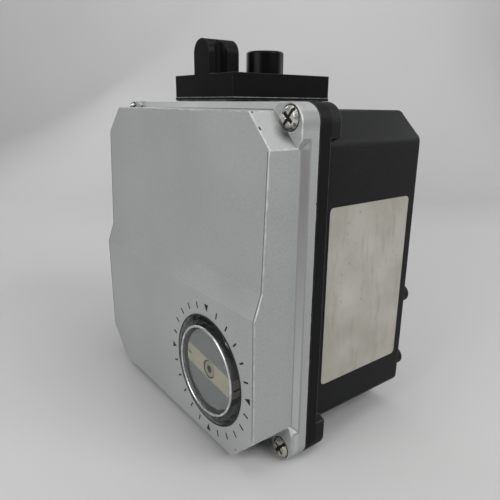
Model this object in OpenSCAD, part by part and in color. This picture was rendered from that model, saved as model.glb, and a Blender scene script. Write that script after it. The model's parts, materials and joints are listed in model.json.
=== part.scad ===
// Pneumatic quarter-turn valve positioner: cast case, clear indicator window,
// spool valve block on top and a cam and balance-beam feedback movement inside.
// Millimetres. +X right, +Y back, +Z up, seen from the front cover.

/* [Case] */
// Width of the case at the seam between cover and housing
seam_width = 154.4; // [152:0.2:160]
// Height of the case at the seam
seam_height = 160; // [158:0.5:166]
// Corner radius of the case at the seam
seam_corner = 8; // [5:0.5:9]
// Depth of the housing behind the seam
housing_depth = 70.6; // [69:0.2:76]
// Wall thickness of the housing
housing_wall = 4; // [3:0.1:4.5]
// How far the housing walls stand in from the seam at the sides
housing_inset = 4; // [3:0.1:5]
// How far the cut corners of the housing run along each side
housing_cut = 12.5; // [11:0.5:14]
// Radius between the flat sides of the housing
housing_round = 5; // [2:0.5:6]
// Depth of the housing rim behind the seam
rim_back = 6.4; // [5:0.1:9]
// Depth of the four screw bosses behind the seam
boss_back = 11.8; // [10:0.1:15]
// Side of the upper screw bosses at the housing wall
boss_high = 15.5; // [14.5:0.5:17]
// Side of the lower screw bosses at the housing wall
boss_low = 18; // [16:0.5:18.5]
// How much shorter the screw bosses are at the outside
boss_slope = 1.8; // [1:0.1:3]

/* [Front cover] */
// Depth of the cover rim in front of the seam
rim_front = 4.6; // [4:0.1:5.5]
// How far the cover walls stand in from the seam at the sides
cover_inset = 2.2; // [2:0.1:2.8]
// How far cover and housing stand in from the seam at top and bottom
end_inset = 3.5; // [3:0.1:4]
// Depth of the bevel between cover rim and cover wall
cover_bevel = 3.1; // [2:0.1:4]
// How far the upper cut corners of the cover run along each side
cover_cut_high = 13.6; // [13:0.2:15]
// How far the lower cut corners of the cover run along each side
cover_cut_low = 16; // [14:0.2:16.6]
// Distance from seam to the raised corner pads under the cover screws
pad_front = 9.2; // [8.6:0.1:9.6]
// How much shorter the corner pads are at the rim
pad_slope = 3.3; // [2:0.1:4]
// Wall thickness of the cover
cover_wall = 3; // [2.6:0.1:3]
// Distance from seam to front face at the top edge
front_top = 22.4; // [20:0.2:24]
// Distance from seam to front face above the ramp
front_mid = 25.2; // [24.2:0.2:26.4]
// Distance from seam to front face below the ramp
front_low = 29; // [28:0.2:31]
// Height of the upper end of the ramp
ramp_top = 87.4; // [82:0.2:92]
// Height of the lower end of the ramp
ramp_foot = 76.4; // [73:0.2:80]
// Distance of the cover screws from the side of the case
screw_side = 7.2; // [6.5:0.1:8]
// Distance of the cover screws from the top and bottom of the case
screw_end = 6; // [5.8:0.1:7]

/* [Indicator] */
// Distance of the feedback shaft from the right side of the case
shaft_side = 38; // [37.8:0.1:39.2]
// Height of the feedback shaft
shaft_z = 38.9; // [38.5:0.1:41]
// Radius of the window opening in the cover
window_radius = 26.8; // [25:0.1:27.2]
// How far the window stands out of the front face
window_rise = 2.4; // [2:0.1:4]
// Thickness of the window
window_wall = 1; // [0.8:0.1:1.2]
// Width of the sloped flank round the front of the window
window_flank = 4.4; // [4:0.1:4.8]
// Radius of the indicator drum
drum_radius = 19.4; // [18:0.1:20]
// Gap between the window and the face of the drum
drum_gap = 2.3; // [0.4:0.1:2.6]
// Length of the drum skirt
drum_length = 10; // [8:0.2:12]

/* [Valve block] */
// Sideways position of the left side of the valve block
block_left = -38.1; // [-39:0.1:-36]
// Width of the valve block
block_width = 55.6; // [53:0.1:57]
// Length of the valve block from front to back
block_length = 63.4; // [61:0.2:65]
// Height of the valve block
block_height = 11; // [10:0.1:12]
// Thickness of the gasket plate under the block
plate_height = 1.8; // [1.2:0.1:2.4]
// How far the gasket plate stands out around the block
plate_margin = 0.2; // [0.1:0.1:1]
// Radius of the upright corners of block and plate
block_corner = 1.2; // [0.8:0.1:3]
// Height of the machined pad on top of the housing above the seam
pad_rise = 0.4; // [0.3:0.1:1]
// Height of the hood above the block
hood_height = 16.9; // [14:0.1:20]
// Width of the hood
hood_width = 14.4; // [13:0.1:15.2]
// Length of the hood from front to back
hood_length = 18.2; // [17:0.1:20]
// Radius of the upright grooves in the hood
groove_radius = 3.6; // [2.5:0.1:3.8]
// Distance of the spool from the right side of the block
spool_right = 19.2; // [18.6:0.1:19.8]
// Diameter of the round end cap over the spool
cap_diameter = 19.6; // [18.2:0.1:20]
// Height of the end cap
cap_height = 11.8; // [11.5:0.1:14]

/* [Feedback movement] */
// Travel of the feedback shaft in degrees
travel = 90; // [60:5:90]
// Shaft angle from the start of travel to the drawn position in degrees
drawn_angle = 7; // [0:1:20]
// Swing of the follower lever over the whole travel in degrees
lever_swing = 12; // [8:0.5:13]
// Radius of the cam roller
roller_radius = 5; // [4:0.1:5.2]
// Running gap between cam and roller
cam_gap = 0.04; // [0.02:0.01:0.08]
// Height of the lever pivot above the feedback shaft
lever_rise = 27.1; // [26.2:0.1:28]
// Distance from lever pivot to cam roller
lever_arm = 33.2; // [32.5:0.1:34]
// Distance from the top of the case down to the balance beam pivot
beam_drop = 40; // [38:0.5:42]
// Distance from beam pivot to feedback spring
spring_lead = 10; // [9.8:0.1:10.2]
// Distance from beam pivot to the signal diaphragm
signal_arm = 32; // [30:0.1:32.5]
// Radius of the signal capsule
capsule_radius = 15; // [14.4:0.1:15.2]
// Radius of the pivot pins
pin_radius = 2.5; // [2:0.1:2.8]
// Radial running clearance of the pivots
pivot_gap = 0.03; // [0.02:0.01:0.06]
// Radial clearance of the spool
spool_gap = 0.02; // [0.01:0.01:0.04]

/* [Mounting] */
// Radius of the feedback shaft
shaft_radius = 5; // [4.5:0.1:5.4]
// Length of shaft standing out behind the rear bosses
shaft_reach = 16; // [10:0.5:25]
// Height of the rear bosses behind the housing
rear_boss = 4.4; // [3:0.1:6]
// Sideways spacing of the rear bosses
rear_spacing_x = 58; // [54:0.5:58]
// Upright spacing of the rear bosses
rear_spacing_z = 37; // [34:0.5:40]
// Height of the lower pair of rear bosses
rear_low_z = 26.2; // [25:0.2:28]
// Thread core radius of the rear holes
rear_hole = 2.5; // [2:0.1:3]
// Thread core radius of the air ports
port_radius = 5.7; // [5:0.1:6]
// Front to back spacing of the air ports
port_spacing_y = 26; // [24:0.5:27]
// Upright spacing of the air ports
port_spacing_z = 28; // [26:0.5:30]

/* [Hidden] */
$fn = 48;
half = seam_width / 2;
top = seam_height;
cover_half = half - cover_inset;
body_half = half - housing_inset;
low = end_inset;
high = top - end_inset;
rear = housing_depth;
inner_rear = rear - housing_wall;
window_face = -front_low - window_rise;
shaft_end = rear + rear_boss + shaft_reach;
y_mid = (window_face + shaft_end) / 2;
screw_x = half - screw_side;
screws = [for (x = [screw_x, -screw_x], z = [screw_end, top - screw_end]) [x, z]];
bolt_radius = 2.4;
head_radius = 4.75;
head_height = 3.1;
slot_turn = 40;
seat = -rim_front - cover_bevel + 0.3;
seat_margin = 0.4;
gasket_edge = 0.4;
gasket_width = 2;
gasket_depth = 1.2;
inside_front = -front_low + cover_wall;
seal_height = 1;
flange_height = 2;
flange_radius = window_radius + 4.6;
keeper_front = inside_front + seal_height + flange_height;
keeper_height = 1.5;
keeper_angles = [150, 215, 35];
keeper_circle = window_radius + 3;
drum_face = window_face + window_wall + drum_gap;
drum_plate = 2.4;
plate_stand = 14.6;
plate_thick = 3;
plate_front = inner_rear - plate_stand;
plate_back = plate_front + plate_thick;
spool_y = plate_front - 16.5;
shaft_x = half - shaft_side;
block_front = 1.6;
pad_top = top + pad_rise;
block_foot = pad_top + plate_height;
block_top = block_foot + block_height;
block_x = block_left + block_width / 2;
block_y = block_front + block_length / 2;
block_bolts = [for (x = [-18.45, 18.45], y = [-25, 25]) [block_x + x, block_y + y]];
sleeve_radius = 6.5;
spool_radius = 4;
sleeve_foot = top - 22;
spool_x = block_left + block_width - spool_right;
beam_half = 3;
beam_z = top - beam_drop;
spool_foot = beam_z + beam_half + 0.02;
spool_tip = 2;
spool_head = block_top + 1;
spool_lands = [[sleeve_foot + 4, sleeve_foot + 10], [block_foot - 3, block_foot + 1.2],
    [block_foot + 3.7, block_foot + 6.3], [block_foot + 8.8, spool_head]];
lever_x = shaft_x - lever_arm;
lever_z = shaft_z + lever_rise;
drawn_lever = lever_swing * (drawn_angle / travel - 0.5);
lever_front = plate_front - 18.5;
lever_back = lever_front + 4;
cam_thick = 5;
cam_front = lever_front - cam_thick - 2;
cam_back = cam_front + cam_thick;
roller_front = cam_front - 1.4;
hub_radius = 6;
hub_front = plate_front - 22.4;
hub_back = plate_front - 0.4;
pin_front = hub_front - 1.6;
capsule_room = 2.2;
signal_x = -body_half + housing_wall + capsule_room + capsule_radius;
beam_x = signal_x + signal_arm;
plate_edge = 6;
plate_left = signal_x;
plate_right = lever_x + 14;
plate_low = lever_z - 2;
plate_high = beam_z + 4;
plate_bolts = [for (x = [plate_left, plate_right], z = [plate_low, plate_high]) [x, z]];
capsule_joint = beam_z - 26;
capsule_foot = capsule_joint - 10;
capsule_top = capsule_joint + 8;
stem_radius = 2.5;
stem_length = beam_z - beam_half - capsule_joint - 1.04;
spring_x = beam_x - spring_lead;
spring_arm = lever_x - spring_x;
rod_radius = 2;
collar_radius = 3.4;
collar_top = 5.5;
spring_foot = lever_z - spring_arm * sin(drawn_lever) + collar_top * cos(drawn_lever)
    + collar_radius * abs(sin(drawn_lever)) + 0.1;
spring_lean = lever_x - spring_arm * cos(drawn_lever) - collar_top * sin(drawn_lever);
port_y = (rear - port_spacing_y) / 2 + 1.7;
port_z = low + 22.5;
port_boss = 9;
port_depth = 12;
filter_radius = 4.2;
filter_end = -body_half + port_depth + 0.8;
ports = [for (i = [0, 1], j = [0, 1]) [port_y + i * port_spacing_y, port_z + j * port_spacing_z]];
rear_bosses = [for (i = [-0.5, 0.5], j = [0, 1])
    [shaft_x + i * rear_spacing_x, rear_low_z + j * rear_spacing_z]];
bush_radius = shaft_radius + 1.6;
bearing_radius = bush_radius + 5.4;
bearing_front = rear - 20.6;
bearing_back = rear + 1.4;
rear_radius = 4.6;
pillar_radius = 5;
foot_x = half - 37.2;
foot_half = 8;
foot_length = 12;

// Shape helpers

// Cylinder along Y between two depths
module bar(x, z, y0, y1, r) {
    translate([x, y0, z]) rotate([-90, 0, 0]) cylinder(r = r, h = y1 - y0);
}

// Cylinder along X at a point in the YZ plane
module cross_bar(x0, x1, p, r) {
    translate([x0, p[0], p[1]]) rotate([0, 90, 0]) cylinder(r = r, h = x1 - x0);
}

// Tapered cylinder along Y
module cone(x, z, y0, y1, r0, r1) {
    translate([x, y0, z]) rotate([-90, 0, 0]) cylinder(r1 = r0, r2 = r1, h = y1 - y0);
}

// XZ outline given depth along Y
module slab(y0, y1) {
    translate([0, y1, 0]) rotate([90, 0, 0]) linear_extrude(y1 - y0) children();
}

// YZ outline given width along X
module run(x0, x1) {
    translate([x0, 0, 0]) rotate([90, 0, 90]) linear_extrude(x1 - x0) children();
}

// Box from two corners
module box(a, b) {
    translate(a) cube(b - a);
}

// Rectangle with its corners cut at 45 degrees, a below and b above
module cut_outline(w, z0, z1, a, b) {
    polygon([[-w + a, z0], [w - a, z0], [w, z0 + a], [w, z1 - b], [w - b, z1], [-w + b, z1],
        [-w, z1 - b], [-w, z0 + a]]);
}

// Same outline moved inwards by t on all eight sides
module cut_inset(w, z0, z1, a, b, t) {
    shift = t * (2 - sqrt(2));
    cut_outline(w - t, z0 + t, z1 - t, a - shift, b - shift);
}

// Rectangle with cut corners and a radius r between all eight sides
module rounded_cut(w, z0, z1, cut, r) {
    t = r * tan(22.5);
    d = t / sqrt(2);
    c = cut + t;
    for (s = [1, -1]) scale([s, 1]) {
        polygon([[0, z0], [w - c, z0], [w - cut + d, z0 + d], [w - d, z0 + cut - d], [w, z0 + c],
            [w, z1 - c], [w - d, z1 - cut + d], [w - cut + d, z1 - d], [w - c, z1], [0, z1]]);
        for (p = [[w - r, z0 + c], [w - c, z0 + r], [w - r, z1 - c], [w - c, z1 - r]]) translate(p) circle(r);
    }
}

module cover_outline(t = 0) {
    cut_inset(cover_half, low, high, cover_cut_low, cover_cut_high, t);
}

// Rectangle with round corners
module round_outline(x0, x1, z0, z1, r) {
    translate([x0 + r, z0]) square([x1 - x0 - 2 * r, z1 - z0]);
    translate([x0, z0 + r]) square([x1 - x0, z1 - z0 - 2 * r]);
    for (x = [x0 + r, x1 - r], z = [z0 + r, z1 - r]) translate([x, z]) circle(r);
}

module seam_outline() {
    round_outline(-half, half, 0, top, seam_corner);
}

// Corner of the case outline, reach long at inset from the outside and slope shorter at the outside
module corner_outline(inset, reach, slope) {
    polygon([[0, 0], [0, reach - slope], [inset, reach], [reach, inset], [reach - slope, 0]]);
}

// Two upper or two lower corners of the case
module at_corners(upper) {
    for (x = [-1, 1]) translate([x * half, upper ? top : 0]) scale([-x, upper ? -1 : 1]) children();
}

// Coil spring along Z from z0 to z1
module coil(r, wire, z0, z1, turns) {
    step = 16;
    sides = 6;
    count = turns * step;
    points = [for (i = [0:count], j = [0:sides - 1])
        let (t = 360 * i / step, a = 360 * j / sides, q = r + wire * cos(a))
        [q * cos(t), q * sin(t), z0 + wire + (z1 - z0 - 2 * wire) * i / count + wire * sin(a)]];
    walls = [for (i = [0:count - 1], j = [0:sides - 1])
        let (k = (j + 1) % sides) [i * sides + j, (i + 1) * sides + j, (i + 1) * sides + k, i * sides + k]];
    ends = [[for (j = [0:sides - 1]) j], [for (j = [sides - 1:-1:0]) count * sides + j]];
    polyhedron(points, concat(walls, ends), convexity = 10);
}

// Retaining ring with an open side, on a pin along Y
module clip(x, z, y0, r_in, r_out) {
    difference() {
        bar(x, z, y0, y0 + 1, r_out);
        bar(x, z, y0 - 1, y0 + 2, r_in);
        box([x - r_in * 0.6, y0 - 1, z - r_out - 1], [x + r_in * 0.6, y0 + 2, z]);
    }
}

// Cap screw along Y with its head towards the front
module cap_screw(x, z, seat, end, r) {
    difference() {
        union() {
            bar(x, z, seat - 2.4, seat, r * 1.8);
            bar(x, z, seat, end, r);
        }
        translate([x, seat - 1, z]) rotate([90, 0, 0]) cylinder(r = r * 0.9, h = 2, $fn = 6);
    }
}

// Puts the follower lever parts at their drawn angle
module on_lever() {
    translate([lever_x, 0, lever_z]) rotate([0, -drawn_lever, 0]) children();
}

// Cam profile: roller path seen from the turning cam, moved in by the roller radius

function lever_at(t) = lever_swing * ((t + drawn_angle) / travel - 0.5);
function roller_at(t) = [lever_x - shaft_x, lever_z - shaft_z] + turned([lever_arm, 0], lever_at(t));
function turned(p, t) = [p[0] * cos(t) - p[1] * sin(t), p[0] * sin(t) + p[1] * cos(t)];
function path(t) = turned(roller_at(t), t);
function unit(v) = v / norm(v);
function heading(t) = unit(path(t + 0.1) - path(t - 0.1));
function cam_point(t) = path(t) + (roller_radius + cam_gap) * turned(heading(t), 90);
cam_first = -drawn_angle - 8;
cam_last = travel - drawn_angle + 8;
cam_start_r = norm(cam_point(cam_first));
cam_end_r = norm(cam_point(cam_last));
cam_start_a = atan2(cam_point(cam_first)[1], cam_point(cam_first)[0]);
cam_end_a = atan2(cam_point(cam_last)[1], cam_point(cam_last)[0]);
cam_back_turn = 360 - ((cam_end_a - cam_start_a + 360) % 360);
cam_profile = concat(
    [for (t = [cam_first:2:cam_last]) cam_point(t)],
    [for (s = [0.06:0.06:0.95])
        let (a = cam_end_a + s * cam_back_turn, r = cam_end_r + s * (cam_start_r - cam_end_r))
        r * [cos(a), sin(a)]]);

// Case

module housing_shell() {
    difference() {
        union() {
            slab(0, rear) rounded_cut(body_half, low, high, housing_cut, housing_round);
            slab(0, rim_back) seam_outline();
            for (upper = [false, true]) intersection() {
                slab(0, boss_back) seam_outline();
                slab(-1, boss_back + 1) at_corners(upper)
                    corner_outline(housing_inset, upper ? boss_high : boss_low, boss_slope);
            }
        }
        slab(-1, inner_rear) cut_inset(body_half, low, high, housing_cut, housing_cut, housing_wall);
    }
}

module housing() color("#2b2c2d") {
    difference() {
        union() {
            housing_shell();
            // Machined pad that carries the valve block
            box([block_left + 2, block_front, high - 1],
                [block_left + block_width - 2, block_front + block_length - 2, pad_top]);
            // Bearing boss of the feedback shaft
            bar(shaft_x, shaft_z, bearing_front, bearing_back, bearing_radius);
            // Rear bosses
            for (p = rear_bosses) bar(p[0], p[1], inner_rear - 6, rear + rear_boss, rear_radius);
            // Pillars behind the movement plate
            for (p = plate_bolts) bar(p[0], p[1], plate_back, inner_rear + 1, pillar_radius);
            // Thread bosses of the air ports
            for (p = ports) cross_bar(-body_half + 1, -body_half + port_depth + 2, p, port_boss);
            // Feet level with the rim
            for (x = [-foot_x, foot_x])
                box([x - foot_half, rear - foot_length - 2, 0], [x + foot_half, rear - 2, low + 1]);
        }
        for (p = screws) bar(p[0], p[1], -1, boss_back - 1.5, bolt_radius + 0.1);
        bar(shaft_x, shaft_z, bearing_front - 1, bearing_back + 1, bush_radius);
        for (p = rear_bosses) bar(p[0], p[1], inner_rear - 4, rear + rear_boss + 1, rear_hole);
        for (p = plate_bolts) bar(p[0], p[1], plate_back - 1, inner_rear - 1, 2.1);
        for (p = ports) {
            cross_bar(-body_half - 1, -body_half + port_depth - 1, p, port_radius);
            cross_bar(-body_half, -body_half + port_depth + 4, p, 2);
        }
        cross_bar(-body_half + port_depth - 2, filter_end, ports[1], filter_radius);
        translate([spool_x, spool_y, high - housing_wall - 1])
            cylinder(r = sleeve_radius + 0.6, h = pad_top - high + housing_wall + 2);
        for (p = block_bolts) translate([p[0], p[1], high - 3]) cylinder(r = 2.1, h = 12);
    }
}

module cover_outside() {
    union() {
        intersection() {
            slab(-front_low - 1, 0) cover_outline();
            run(-half, half) polygon([[0, low], [-front_low, low], [-front_low, ramp_foot],
                [-front_mid, ramp_top], [-front_top, high], [0, high]]);
        }
        slab(-rim_front, 0) seam_outline();
        // Raised pads under the screws
        for (upper = [false, true]) intersection() {
            slab(-pad_front, 0) seam_outline();
            slab(-pad_front - 1, 1) at_corners(upper)
                corner_outline(cover_inset, (upper ? cover_cut_high : cover_cut_low) + low, pad_slope);
        }
        // Bevel between rim and wall
        intersection() {
            slab(-rim_front - cover_bevel, -rim_front + 1) seam_outline();
            union() {
                for (s = [-1, 1]) scale([s, 1, 1]) linear_extrude(top) polygon([[half, -rim_front],
                    [cover_half, -rim_front - cover_bevel], [cover_half - 2, -rim_front - cover_bevel],
                    [cover_half - 2, -rim_front + 1], [half, -rim_front + 1]]);
                run(-half, half) polygon([[-rim_front, top], [-rim_front - cover_bevel, high],
                    [-rim_front - cover_bevel, high - 2], [-rim_front + 1, high - 2], [-rim_front + 1, top]]);
                run(-half, half) polygon([[-rim_front, 0], [-rim_front - cover_bevel, low],
                    [-rim_front - cover_bevel, low + 2], [-rim_front + 1, low + 2], [-rim_front + 1, 0]]);
            }
        }
    }
}

module front_cover() color("#b9bcbd") {
    difference() {
        cover_outside();
        intersection() {
            slab(-front_low, 1) cover_outline(cover_wall);
            run(-half, half) polygon([[1, low], [inside_front, low], [inside_front, ramp_foot + 1],
                [-front_mid + cover_wall, ramp_top + 1], [-front_top + cover_wall, high], [1, high]]);
        }
        bar(shaft_x, shaft_z, -front_low - 1, 0, window_radius);
        for (p = screws) {
            bar(p[0], p[1], seat - 1, 1, bolt_radius + 0.3);
            bar(p[0], p[1], seat - head_height, seat, head_radius + seat_margin);
        }
        difference() {
            slab(-gasket_depth, 1) cover_outline(gasket_edge);
            slab(-gasket_depth - 1, 2) cover_outline(gasket_edge + gasket_width);
        }
        for (a = keeper_angles)
            bar(shaft_x + keeper_circle * cos(a), shaft_z + keeper_circle * sin(a),
                inside_front - 2, inside_front + 1, 1.2);
    }
}

module cover_gasket() color("#1c1c1c") {
    difference() {
        slab(-gasket_depth, 0) cover_outline(gasket_edge);
        slab(-gasket_depth - 1, 1) cover_outline(gasket_edge + gasket_width);
    }
}

module cover_screws() color("#c8c6bf") {
    for (p = screws) {
        difference() {
            union() {
                cone(p[0], p[1], seat - head_height, seat - head_height + 1.2, head_radius - 1, head_radius);
                bar(p[0], p[1], seat - head_height + 1.2, seat, head_radius);
                bar(p[0], p[1], seat, boss_back - 2, bolt_radius);
            }
            translate([p[0], seat - head_height, p[1]]) rotate([0, slot_turn, 0]) {
                cube([1.3, 3, 2 * head_radius + 1], center = true);
                cube([5.6, 4, 1.6], center = true);
            }
        }
    }
}

// Indicator window

module indicator_window() color("#dfe4e6") {
    lip = 2.2;
    r = window_radius - 0.2;
    difference() {
        union() {
            cone(shaft_x, shaft_z, window_face, window_face + lip, r - window_flank, r);
            bar(shaft_x, shaft_z, window_face + lip, keeper_front, r);
            bar(shaft_x, shaft_z, keeper_front - flange_height, keeper_front, flange_radius);
        }
        bar(shaft_x, shaft_z, window_face + window_wall, keeper_front + 1, r - window_flank - 0.9);
        bar(shaft_x, shaft_z, window_face + lip + 0.4, keeper_front + 1, r - 2.6);
        for (a = keeper_angles)
            bar(shaft_x + keeper_circle * cos(a), shaft_z + keeper_circle * sin(a),
                keeper_front - flange_height - 1, keeper_front + 1, 1.4);
    }
}

module window_seal() color("#1a1a1a") {
    difference() {
        bar(shaft_x, shaft_z, inside_front, inside_front + seal_height, window_radius + 1.6);
        bar(shaft_x, shaft_z, inside_front - 1, inside_front + seal_height + 1, window_radius + 0.1);
    }
}

module window_keeper() color("#9a9c9d") {
    difference() {
        bar(shaft_x, shaft_z, keeper_front, keeper_front + keeper_height, flange_radius);
        bar(shaft_x, shaft_z, keeper_front - 1, keeper_front + keeper_height + 1, window_radius - 1);
        for (a = keeper_angles)
            bar(shaft_x + keeper_circle * cos(a), shaft_z + keeper_circle * sin(a),
                keeper_front - 1, keeper_front + keeper_height + 1, 1.4);
    }
}

module keeper_screws() color("#c8c6bf") {
    back = keeper_front + keeper_height;
    for (a = keeper_angles) {
        x = shaft_x + keeper_circle * cos(a);
        z = shaft_z + keeper_circle * sin(a);
        bar(x, z, inside_front - 1.8, back, 1.1);
        difference() {
            bar(x, z, back, back + 1.4, 1.5);
            translate([x, back + 1.4, z]) cube([0.5, 1.2, 4], center = true);
        }
    }
}

// Valve block

module block_outline(m) {
    round_outline(block_left - m, block_left + block_width + m,
        block_front - m, block_front + block_length + m, block_corner);
}

module gasket_plate() color("#303233") {
    difference() {
        translate([0, 0, pad_top]) linear_extrude(plate_height) block_outline(plate_margin);
        translate([spool_x, spool_y, pad_top - 1]) cylinder(r = sleeve_radius + 0.6, h = plate_height + 2);
        for (p = block_bolts) translate([p[0], p[1], pad_top - 1]) cylinder(r = 2.3, h = plate_height + 2);
    }
}

module valve_block() color("#2f3031") {
    r = hood_width / 2;
    difference() {
        union() {
            translate([0, 0, block_foot]) linear_extrude(block_height) block_outline(0);
            slab(block_front, block_front + hood_length) {
                translate([block_x - r, block_top - 1]) square([hood_width, hood_height - r + 1]);
                translate([block_x, block_top + hood_height - r]) circle(r);
            }
        }
        for (s = [-1, 1]) translate([block_x + s * r, block_front + 7.4, block_top])
            cylinder(r = groove_radius, h = hood_height + 1);
        translate([spool_x, spool_y, block_foot - 1]) cylinder(r = sleeve_radius, h = block_height + 2);
        for (p = block_bolts) translate([p[0], p[1], block_foot - 1]) {
            cylinder(r = 2.3, h = block_height + 2);
            translate([0, 0, block_height - 3.4]) cylinder(r = 4, h = 6);
        }
    }
}

module block_screws() color("#3a3b3c") {
    for (p = block_bolts) translate([p[0], p[1], 0]) {
        translate([0, 0, high - 2]) cylinder(r = 2, h = block_top - high - 2.4);
        difference() {
            translate([0, 0, block_top - 4.4]) cylinder(r = 3.5, h = 4);
            translate([0, 0, block_top - 2.4]) cylinder(r = 1.7, h = 4, $fn = 6);
        }
    }
}

module valve_sleeve() color("#b9a06a") {
    difference() {
        union() {
            translate([spool_x, spool_y, sleeve_foot])
                cylinder(r = sleeve_radius, h = block_top - sleeve_foot);
            translate([spool_x, spool_y, block_top]) cylinder(r = cap_diameter / 2 - 1.3, h = 1.6);
        }
        translate([spool_x, spool_y, sleeve_foot - 1])
            cylinder(r = spool_radius + spool_gap, h = block_top - sleeve_foot + 4);
        for (z = [2.4, 5, 7.6]) translate([spool_x, spool_y, block_foot + z]) rotate([0, 90, 0])
            cylinder(r = 0.9, h = 20, center = true);
    }
}

module spool() color("#c9cbcc") {
    translate([spool_x, spool_y, 0]) {
        translate([0, 0, spool_foot + spool_tip]) {
            sphere(r = spool_tip);
            cylinder(r = spool_tip, h = spool_head - spool_foot - spool_tip);
        }
        for (z = spool_lands) translate([0, 0, z[0]]) cylinder(r = spool_radius, h = z[1] - z[0]);
    }
}

module spool_spring() color("#a8a9aa") {
    translate([spool_x, spool_y, 0]) coil(2.8, 0.4, spool_head + 0.05, block_top + cap_height - 2.05, 5);
}

module end_cap() color("#2a2b2c") {
    r = cap_diameter / 2;
    difference() {
        translate([spool_x, spool_y, block_top]) {
            cylinder(r = r, h = cap_height - 0.8);
            translate([0, 0, cap_height - 0.8]) cylinder(r1 = r, r2 = r - 0.8, h = 0.8);
        }
        translate([spool_x, spool_y, block_top - 1]) cylinder(r = r - 1.3, h = 2.6);
        translate([spool_x, spool_y, block_top - 1]) cylinder(r = spool_radius + 1.2, h = cap_height - 1);
    }
}

// Fixed parts of the movement

module movement_plate() color("#a3a5a6") {
    difference() {
        slab(plate_front, plate_back) round_outline(plate_left - plate_edge, plate_right + plate_edge,
            plate_low - plate_edge, plate_high + plate_edge, 4);
        for (p = plate_bolts) bar(p[0], p[1], plate_front - 1, plate_back + 1, 2.3);
        bar(lever_x, lever_z, plate_front - 1, plate_back + 1, pin_radius);
        bar(beam_x, beam_z, plate_front - 1, plate_back + 1, pin_radius);
    }
}

module plate_screws() color("#c8c6bf") {
    for (p = plate_bolts) cap_screw(p[0], p[1], plate_front, inner_rear - 2, 2);
}

module capsule_base() color("#8e9091") {
    difference() {
        union() {
            translate([signal_x, spool_y, capsule_foot])
                cylinder(r = capsule_radius, h = capsule_joint - capsule_foot);
            box([signal_x - 4, spool_y + 8, capsule_foot], [signal_x + 12, plate_front, capsule_joint - 2]);
        }
        translate([signal_x, spool_y, capsule_foot + 3]) cylinder(r = 9.5, h = 20);
        translate([signal_x, port_y, capsule_foot - 1]) cylinder(r = 1.5, h = 4);
        translate([signal_x, port_y + 2, capsule_foot + 1.5]) cylinder(r = 1.5, h = 3);
    }
}

module diaphragm() color("#34302c") {
    translate([signal_x, spool_y, capsule_joint]) cylinder(r = capsule_radius, h = 1);
}

module capsule_cover() color("#8e9091") {
    difference() {
        translate([signal_x, spool_y, capsule_joint + 1])
            cylinder(r = capsule_radius, h = capsule_top - capsule_joint - 1);
        translate([signal_x, spool_y, capsule_joint]) cylinder(r = 9.5, h = capsule_top - capsule_joint - 2);
        translate([signal_x, spool_y, capsule_joint]) cylinder(r = stem_radius + 0.4, h = 20);
    }
}

module diaphragm_stem() color("#c9cbcc") {
    translate([signal_x, spool_y, capsule_joint + 1.02]) {
        cylinder(r = 7, h = 1.5);
        cylinder(r = stem_radius, h = stem_length - stem_radius);
        translate([0, 0, stem_length - stem_radius]) sphere(r = stem_radius);
    }
}

// Tube from the signal port to the capsule
module signal_tube() color("#b0773f") {
    bend = 7;
    start = -body_half + port_depth + 2;
    translate([start, port_y, port_z]) rotate([0, 90, 0])
        linear_extrude(signal_x - bend - start) tube_section();
    translate([signal_x - bend, port_y, port_z + bend]) rotate([90, 0, 0]) rotate([0, 0, -90])
        rotate_extrude(angle = 90) translate([bend, 0]) tube_section();
    translate([signal_x, port_y, port_z + bend]) linear_extrude(capsule_foot - port_z - bend) tube_section();
}

module tube_section() {
    difference() {
        circle(2.6);
        circle(1.6);
    }
}

module lever_pin() color("#c9cbcc") {
    bar(lever_x, lever_z, pin_front, plate_back, pin_radius);
}

module beam_pin() color("#c9cbcc") {
    bar(beam_x, beam_z, pin_front, plate_back, pin_radius);
}

module lever_clip() color("#6d6f70") {
    clip(lever_x, lever_z, pin_front + 0.4, pin_radius, pin_radius + 2.5);
}

module beam_clip() color("#6d6f70") {
    clip(beam_x, beam_z, pin_front + 0.4, pin_radius, pin_radius + 2.5);
}

// Moving parts of the movement

module balance_beam() color("#b5b7b8") {
    difference() {
        union() {
            box([signal_x - 5, spool_y - 4, beam_z - beam_half],
                [spool_x + 6, spool_y + 4, beam_z + beam_half]);
            bar(beam_x, beam_z, hub_front, hub_back, hub_radius);
            translate([spring_x, spool_y, beam_z - beam_half - 5]) cylinder(r = 1.6, h = 6);
        }
        bar(beam_x, beam_z, hub_front - 1, hub_back + 1, pin_radius + pivot_gap);
    }
}

module follower_lever() color("#b5b7b8") {
    on_lever() difference() {
        union() {
            slab(lever_front, lever_back) {
                translate([-spring_arm, -3.5]) square([spring_arm + lever_arm, 7]);
                translate([lever_arm, 0]) circle(4.4);
            }
            box([-spring_arm - 5, spool_y - 4.5, -3.5], [-spring_arm + 5, spool_y + 4.5, 3.5]);
            bar(0, 0, hub_front, hub_back, hub_radius);
        }
        bar(0, 0, hub_front - 1, hub_back + 1, pin_radius + pivot_gap);
        bar(lever_arm, 0, lever_front - 1, lever_back + 1, 2);
        translate([-spring_arm, spool_y, -5]) cylinder(r = rod_radius, h = 10);
    }
}

module roller_pin() color("#c9cbcc") {
    on_lever() {
        bar(lever_arm, 0, roller_front - 0.1, lever_back, 2);
        bar(lever_arm, 0, roller_front - 1.1, roller_front - 0.1, 3);
    }
}

module cam_roller() color("#d8d4c6") {
    on_lever() difference() {
        bar(lever_arm, 0, roller_front, lever_front - 0.1, roller_radius);
        bar(lever_arm, 0, roller_front - 1, lever_front + 1, 2 + pivot_gap);
    }
}

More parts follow.
